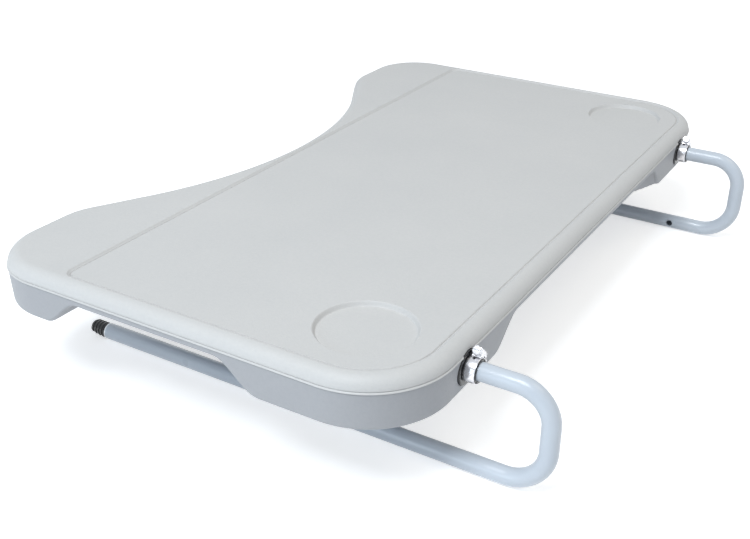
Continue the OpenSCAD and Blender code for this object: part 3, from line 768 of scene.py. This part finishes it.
def screw_rows():
    """The worm screw's angles, its rows as (length along, radius at each angle), and its front end. The
    head is a hexagon cut back by a cone. At length s and angle a the worm's radius is its root plus a ridge
    that depends on s / pitch - a / 2 pi alone."""
    end = housing_l / 2
    back, front, half_worm = -end - head_gap, -end - head_gap - head_l, worm_l / 2 - play
    angle = stretch(0, math.tau, 48)
    even = np.ones(len(angle))
    flats = head_flat_r / np.cos((angle + math.pi / 6) % (math.pi / 3) - math.pi / 6)
    rows = [(front, 0 * even), (front, np.minimum(flats, 2.9))]
    rows += [(front + d, np.minimum(flats, 3.2 + 1.3 * d)) for d in (0.02, 0.25, 0.5, 0.8)]
    rows += [(back - 0.3, flats), (back, flats * 0.94)]
    rows += [(back, neck_r * even), (-half_worm - 0.02, neck_r * even)]
    for at in np.linspace(-half_worm, half_worm, 74):
        turn = (at / worm_pitch - angle / math.tau) % 1
        ridge = np.clip(1.5 - 4 * np.abs(turn - 0.5), 0, 1)
        fade = np.clip((half_worm - abs(at)) / 0.7, 0, 1)
        rows.append((at, worm_root_r + (worm_r - worm_root_r) * ridge * fade))
    rows += [(half_worm, journal_r * even), (end - 0.2, journal_r * even),
             (end, (journal_r - 0.2) * even), (end, 0 * even)]
    return angle, rows, front


def clamp_screw(side):
    """The worm screw along Y in the clamp's frame, with a straight slot across its head."""
    angle, rows, front = screw_rows()
    at = np.array([row[0] for row in rows])[:, None] * np.ones(len(angle))
    r = np.stack([row[1] for row in rows])
    grid = np.stack([r * np.cos(angle), at, worm_z + r * np.sin(angle)], axis=-1)
    place = clamp_place(side)
    sharp = 28
    obj = piece(f"screw_{side_name(side)}", moved([(grid, False, True)], place), sharp)
    half, edge = driver_slot_w / 2, 0.05
    low, high = worm_z - half, worm_z + half
    slot = rounded([(-8, low, edge), (8, low, edge), (8, high, edge), (-8, high, edge)], 1)
    cut = prism(slot, [(front - 2, 0), (front + driver_slot_d, 0)])
    boolean(obj, "DIFFERENCE", moved(cut, place), sharp)
    return obj


# Camera: the photo's viewing angle, worked out from the tube's diameter and the deck's outline, in metres

view_azimuth, view_elevation, view_roll = (math.radians(a) for a in (30.811, 27.234, 0.633))
camera_place = Vector((0.47053, -0.90835, 0.53698))
focal_px, photo_w = 1049.25, 750
camera = bpy.data.objects.new("camera", bpy.data.cameras.new("camera"))
bpy.context.scene.collection.objects.link(camera)
camera.matrix_world = (
    Matrix.Translation(camera_place)
    @ Matrix.Rotation(view_azimuth, 4, "Z")
    @ Matrix.Rotation(math.pi / 2 - view_elevation, 4, "X")
    @ Matrix.Rotation(view_roll, 4, "Z")
)
camera.data.sensor_width = 36
camera.data.lens = camera.data.sensor_width * focal_px / photo_w
camera.data.clip_start, camera.data.clip_end = 0.05, 60
bpy.context.scene.camera = camera


# Materials. Lengths in them are metres, because they work from object coordinates.

def node(tree, kind, inputs=(), **settings):
    """A node with its settings, and with its inputs set from (name, value or output socket) pairs."""
    made = tree.nodes.new("ShaderNode" + kind)
    for name, value in settings.items():
        setattr(made, name, value)
    for name, value in inputs:
        socket = made.inputs[name]
        if isinstance(value, bpy.types.NodeSocket):
            tree.links.new(value, socket)
        else:
            socket.default_value = value
    return made


def group(name, inputs, outputs):
    """An empty node group with named float inputs, each with its default, and named outputs."""
    tree = bpy.data.node_groups.new(name, "ShaderNodeTree")
    for label, value in inputs:
        socket = tree.interface.new_socket(label, in_out="INPUT", socket_type="NodeSocketFloat")
        socket.default_value = value
    for label in outputs:
        tree.interface.new_socket(label, in_out="OUTPUT", socket_type="NodeSocketFloat")
    given, result = tree.nodes.new("NodeGroupInput"), tree.nodes.new("NodeGroupOutput")
    return tree, given, result


def noise(tree, place, scale, detail=2.0, roughness=0.5):
    """Noise at so many features per metre."""
    return node(tree, "TexNoise", [("Vector", place), ("Scale", scale), ("Detail", detail),
                                   ("Roughness", roughness)]).outputs["Fac"]


def product(tree, a, b):
    """Two values multiplied."""
    return node(tree, "Math", [(0, a), (1, b)], operation="MULTIPLY").outputs[0]


def total(tree, a, b):
    """Two values added."""
    return node(tree, "Math", [(0, a), (1, b)], operation="ADD").outputs[0]


def remap(tree, value, low, high, start=0.0, stop=1.0):
    """A value from start to stop as one from low to high."""
    return node(tree, "MapRange", [("Value", value), ("From Min", start), ("From Max", stop),
                                   ("To Min", low), ("To Max", high)]).outputs["Result"]


def moulded_grain():
    """The pebbled skin of a moulded plastic: cells with soft edges over slow waves. Height is for a bump,
    Tone drifts slowly from 0 to 1 with small specks in it, and Gloss is higher on the tops of the cells."""
    tree, given, result = group("moulded grain", [("Cells per metre", 900.0)], ["Height", "Tone", "Gloss"])
    place = node(tree, "TexCoord").outputs["Object"]
    cells = node(tree, "TexVoronoi", [("Vector", place), ("Scale", given.outputs[0]), ("Smoothness", 0.6)],
                 feature="SMOOTH_F1").outputs["Distance"]
    fine = noise(tree, place, 2600.0, 3.0)
    slow = noise(tree, place, 9.0, 3.0, 0.55)
    specks = noise(tree, place, 330.0, 2.0, 0.7)
    height = total(tree, product(tree, cells, 0.7), product(tree, fine, 0.3))
    tree.links.new(height, result.inputs["Height"])
    tone = total(tree, product(tree, slow, 0.5), product(tree, specks, 0.5))
    tree.links.new(remap(tree, tone, 0.0, 1.0, 0.33, 0.67), result.inputs["Tone"])
    tree.links.new(remap(tree, cells, 1.0, 0.0, 0.1, 0.7), result.inputs["Gloss"])
    return tree


def orange_peel():
    """A sprayed or baked coat: shallow dimples a millimetre or two wide, and a slow drift of shade."""
    tree, given, result = group("orange peel", [("Dimples per metre", 420.0)], ["Height", "Tone"])
    place = node(tree, "TexCoord").outputs["Object"]
    tree.links.new(noise(tree, place, given.outputs[0], 1.0), result.inputs["Height"])
    drift = noise(tree, place, 26.0, 2.0)
    tree.links.new(remap(tree, drift, 0.0, 1.0, 0.3, 0.7), result.inputs["Tone"])
    return tree


def rolled_steel():
    """Bright rolled strip: hair lines that run round the tube, so noise that is stretched across X, and
    small pits and smears that dull it."""
    tree, given, result = group("rolled steel", [("Lines per metre", 9000.0)], ["Height", "Smear"])
    place = node(tree, "TexCoord").outputs["Object"]
    across = node(tree, "CombineXYZ", [("X", given.outputs[0]), ("Y", 90.0), ("Z", 90.0)]).outputs[0]
    spread = node(tree, "VectorMath", [(0, place), (1, across)], operation="MULTIPLY").outputs[0]
    lines = noise(tree, spread, 1.0, 2.0)
    smear = noise(tree, place, 380.0, 4.0, 0.6)
    tree.links.new(lines, result.inputs["Height"])
    tree.links.new(remap(tree, smear, 0.0, 1.0, 0.35, 0.65), result.inputs["Smear"])
    return tree


GRAIN, PEEL, STEEL = moulded_grain(), orange_peel(), rolled_steel()


def surface(name, metallic=0.0, coat=0.0):
    """A new material's tree and shader."""
    made = bpy.data.materials.new(name)
    made.use_nodes = True
    shader = made.node_tree.nodes["Principled BSDF"]
    shader.inputs["Metallic"].default_value = metallic
    shader.inputs["Coat Weight"].default_value = coat
    shader.inputs["Coat Roughness"].default_value = 0.12
    return made, made.node_tree, shader


def use(tree, shared, **inputs):
    """A shared group's outputs in a material."""
    made = tree.nodes.new("ShaderNodeGroup")
    made.node_tree = shared
    for name, value in inputs.items():
        made.inputs[name.replace("_", " ")].default_value = value
    return made.outputs


def blend(tree, share, a, b):
    """A colour between two, by a share."""
    made = node(tree, "Mix", data_type="RGBA")
    tree.links.new(share, made.inputs[0])
    for socket, value in ((made.inputs[6], a), (made.inputs[7], b)):
        if isinstance(value, bpy.types.NodeSocket):
            tree.links.new(value, socket)
        else:
            socket.default_value = (*value, 1)
    return made.outputs[2]


def bump(tree, shader, height, distance):
    """Raises the surface by a height of 0 to 1 over a distance in metres."""
    made = node(tree, "Bump", [("Strength", 1.0), ("Distance", distance), ("Height", height)])
    tree.links.new(made.outputs["Normal"], shader.inputs["Normal"])


def plastic(name, light, dark, cells=700.0, rough=0.52, relief=0.00012):
    """Moulded plastic, its shade drifting between two colours, with a pebbled skin."""
    made, tree, shader = surface(name)
    grain = use(tree, GRAIN, Cells_per_metre=cells)
    tree.links.new(blend(tree, grain["Tone"], dark, light), shader.inputs["Base Color"])
    tree.links.new(remap(tree, grain["Gloss"], rough + 0.06, rough - 0.06), shader.inputs["Roughness"])
    bump(tree, shader, grain["Height"], relief)
    return made


def coated_tube(name, light, dark, bare):
    """A pale powder coat with shallow dimples, and bare metal on the cut end of the run."""
    made, tree, shader = surface(name, coat=0.35)
    peel = use(tree, PEEL)
    place = node(tree, "TexCoord").outputs["Object"]
    x = node(tree, "SeparateXYZ", [("Vector", place)]).outputs["X"]
    bare_to = (run_end_x + bare_l) * MM
    cut = node(tree, "Math", [(0, x), (1, bare_to)], operation="LESS_THAN").outputs[0]
    coat = blend(tree, peel["Tone"], dark, light)
    tree.links.new(blend(tree, cut, coat, bare), shader.inputs["Base Color"])
    tree.links.new(product(tree, cut, 0.6), shader.inputs["Metallic"])
    tree.links.new(remap(tree, peel["Tone"], 0.34, 0.27), shader.inputs["Roughness"])
    bump(tree, shader, peel["Height"], 0.00012)
    return made


def black_nylon(name):
    """Black nylon with a shine and a very fine grain."""
    made, tree, shader = surface(name)
    grain = use(tree, GRAIN, Cells_per_metre=2200.0)
    colour = blend(tree, grain["Tone"], (0.007, 0.007, 0.008), (0.014, 0.014, 0.016))
    tree.links.new(colour, shader.inputs["Base Color"])
    tree.links.new(remap(tree, grain["Gloss"], 0.16, 0.08), shader.inputs["Roughness"])
    bump(tree, shader, grain["Height"], 0.00001)
    return made


def bright_steel(name, light, dark, lines, rough, relief=0.000002):
    """Plated steel with hair lines and smears."""
    made, tree, shader = surface(name, metallic=1.0)
    steel = use(tree, STEEL, Lines_per_metre=lines)
    tree.links.new(blend(tree, steel["Smear"], light, dark), shader.inputs["Base Color"])
    tree.links.new(remap(tree, steel["Smear"], rough, rough + 0.1), shader.inputs["Roughness"])
    bump(tree, shader, steel["Height"], relief)
    return made


MATERIALS = {
    "deck_top": plastic("light grey deck plastic", (0.655, 0.645, 0.63), (0.615, 0.61, 0.6)),
    # The underside is the same plastic as the top; these darker, bluer colours are painted shade for the
    # shade that falls under the deck.
    "deck_underside": plastic("deck plastic darkened as painted shade", (0.435, 0.44, 0.455), (0.405, 0.41, 0.43)),
    "rail_coat": coated_tube(
        "pale blue grey coat", (0.61, 0.66, 0.72), (0.575, 0.625, 0.69), bare=(0.8, 0.82, 0.84)),
    "black_nylon": black_nylon("black nylon"),
    "plated_steel": bright_steel(
        "plated strip", (0.82, 0.82, 0.84), (0.6, 0.59, 0.62), lines=9000.0, rough=0.16),
    "screw_steel": bright_steel(
        "plated screw", (0.78, 0.78, 0.8), (0.5, 0.5, 0.52), lines=3000.0, rough=0.2),
}


def dress(obj, slot):
    """Gives an object its slot's material, on every face."""
    obj.data.materials.clear()
    obj.data.materials.append(MATERIALS[slot])
    for face in obj.data.polygons:
        face.material_index = 0
    return obj


# Pieces

def stand_in(obj, body, slot, node_name):
    """A finished piece that takes a CAD node's place."""
    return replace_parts(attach(dress(obj, slot), body), node_name)


stand_in(deck_top(), "tray", "deck_top", "top_shell")
stand_in(deck_under(), "tray", "deck_underside", "bottom_shell")
for name, side in SIDES.items():
    stand_in(rail(side), f"rail_{name}", "rail_coat", f"rail_{name}")
    stand_in(rail_tip(side), f"rail_{name}", "black_nylon", f"rail_tip_{name}")
    stand_in(sleeve(side), f"collar_{name}", "black_nylon", f"sleeve_{name}")
    stand_in(clamp_band(side), f"collar_{name}", "plated_steel", f"clamp_band_{name}")
    stand_in(clamp_housing(side), f"collar_{name}", "plated_steel", f"clamp_housing_{name}")
    stand_in(clamp_screw(side), f"screw_{name}", "screw_steel", f"clamp_screw_{name}")
    dress(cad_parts[f"guide_plug_{name}"], "black_nylon")
    dress(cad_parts[f"guide_pin_{name}"], "plated_steel")


# Lights and floor

AIR_LIGHT, AIR_SEEN = (0.315, 0.345, 0.375), (0.88, 0.92, 0.96)
FLOOR_REACH, FLOOR_GLOW = 12.0, 0.55
LAMPS = [
    # name, place and target in metres, size, watts, colour
    ("key", (-0.1, -1.6, 2.7), (0, -0.1, 0.1), 1.3, 58, (0.91, 0.96, 1)),
    ("warm side", (1.2, 0.7, 2.1), (0, 0.1, 0.1), 1.2, 9, (1, 0.88, 0.72)),
    ("low fill", (-0.5, -1.7, 0.4), (0, 0, 0.05), 0.9, 5, (0.75, 0.88, 1)),
]


def background_rays(tree):
    """1 for a ray from the camera, off a shiny surface or through glass, and 0 for one that lights."""
    rays = node(tree, "LightPath").outputs
    shiny = total(tree, rays["Is Glossy Ray"], rays["Is Transmission Ray"])
    return node(tree, "Math", [(0, rays["Is Camera Ray"]), (1, shiny)], operation="ADD",
                use_clamp=True).outputs[0]


def studio_air():
    """A pale blue light from all round, which looks nearly white to the camera and in shiny surfaces."""
    world = bpy.data.worlds.new("studio")
    bpy.context.scene.world = world
    world.use_nodes = True
    tree = world.node_tree
    colour = blend(tree, background_rays(tree), AIR_LIGHT, AIR_SEEN)
    tree.links.new(colour, tree.nodes["Background"].inputs["Color"])


def soft_light(name, place, target, size, power, colour):
    """A square area lamp that faces its target."""
    lamp = bpy.data.lights.new(name, "AREA")
    lamp.size, lamp.energy, lamp.color = size, power, colour
    obj = bpy.data.objects.new(name, lamp)
    obj.location = place
    obj.rotation_euler = (Vector(target) - Vector(place)).to_track_quat("-Z", "Y").to_euler()
    bpy.context.scene.collection.objects.link(obj)


def stage_floor():
    """A wide white floor. To the camera and in shiny surfaces it also glows a little, so that it reads as
    plain white and still shows the object's shadow."""
    reach = FLOOR_REACH
    corners = [(-reach, -reach, 0), (reach, -reach, 0), (reach, reach, 0), (-reach, reach, 0)]
    mesh = bpy.data.meshes.new("floor")
    mesh.from_pydata(corners, [], [(0, 1, 2, 3)])
    made, tree, shader = surface("white floor")
    shader.inputs["Base Color"].default_value = (0.9, 0.9, 0.9, 1)
    shader.inputs["Roughness"].default_value = 0.9
    shader.inputs["Emission Color"].default_value = (1, 1, 1, 1)
    glow = product(tree, background_rays(tree), FLOOR_GLOW)
    tree.links.new(glow, shader.inputs["Emission Strength"])
    mesh.materials.append(made)
    obj = bpy.data.objects.new("floor", mesh)
    bpy.context.scene.collection.objects.link(obj)
    return obj


studio_air()
for lamp in LAMPS:
    soft_light(*lamp)
stage_floor()
bpy.context.scene.view_settings.view_transform = "Standard"
